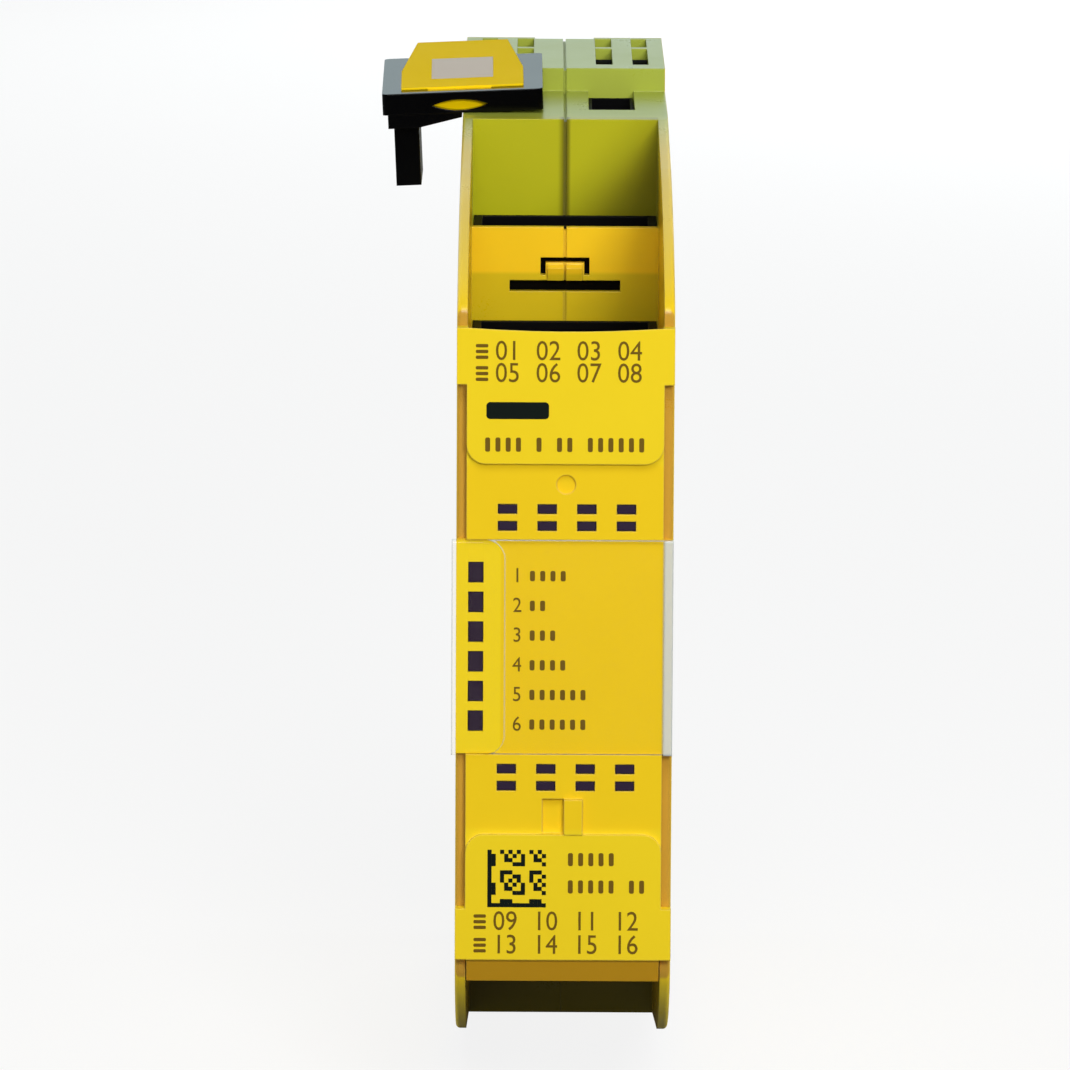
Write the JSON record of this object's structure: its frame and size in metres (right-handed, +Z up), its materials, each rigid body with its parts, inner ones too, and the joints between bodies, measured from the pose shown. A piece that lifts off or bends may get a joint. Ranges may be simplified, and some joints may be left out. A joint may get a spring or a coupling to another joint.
{
  "type": "safety relay",
  "caption": "Narrow yellow rail-mounted safety relay module with empty stepped terminal bays, status windows, a sprung rail latch and a black link plug in its top.",
  "frame": {"origin": "middle of the face that seats on the mounting rail, on the rail centre line and the middle plane of the housing", "axes": "+X to the right seen from the front, +Y from the front to the rail, +Z up"},
  "size_m": [0.0316, 0.1183, 0.1089],
  "materials": {
    "housing_yellow": "moulded plastic, satin",
    "clear_cover": "clear plastic",
    "smoked_window": "dark tinted plastic",
    "board_green": "lacquered board",
    "lamp_white": "small lamp packages",
    "black_plastic": "moulded plastic, matte",
    "tin": "tinned metal",
    "can": "capacitor cans",
    "label_grey": "printed label panel",
    "spring_steel": "spring strip"
  },
  "bodies": {
    "housing": {"board_connector": "black_plastic", "capacitors": "can", "check_processor": "black_plastic", "converter_block": "black_plastic", "display_board": "board_green", "display_connector": "black_plastic", "front_cover": "housing_yellow", "header_lower_front": "black_plastic", "header_lower_rear": "black_plastic", "header_upper_front": "black_plastic", "header_upper_rear": "black_plastic", "indicator_leds": "lamp_white", "input_isolators": "black_plastic", "latch_spring": "spring_steel", "left_half_shell": "housing_yellow", "link_contacts_left": "tin", "link_contacts_right": "tin", "link_socket_left": "black_plastic", "link_socket_right": "black_plastic", "lower_light_guide": "smoked_window", "main_board": "board_green", "main_processor": "black_plastic", "output_board": "board_green", "output_switches": "black_plastic", "pins_lower_front": "tin", "pins_lower_rear": "tin", "pins_upper_front": "tin", "pins_upper_rear": "tin", "right_half_shell": "housing_yellow", "status_light_guide": "smoked_window", "upper_light_guide": "smoked_window", "window_cover": "clear_cover"},
    "latch": {"rail_latch": "black_plastic"},
    "link_plug": {"plug_body": "black_plastic", "plug_cap": "housing_yellow", "plug_label": "label_grey", "plug_contacts": "tin"}
  },
  "joints": [
    {"name": "latch_slide", "type": "slide", "parent": "housing", "child": "latch", "axis": [0, 0, -1], "range_m": [0, 0.003], "stiffness_N_per_m": 1200, "springref_m": -0.002, "deforming": ["latch_spring"]},
    {"name": "plug_lift", "type": "slide", "parent": "housing", "child": "link_plug", "axis": [0, 0, 1], "range_m": [0, 0.014]}
  ]
}
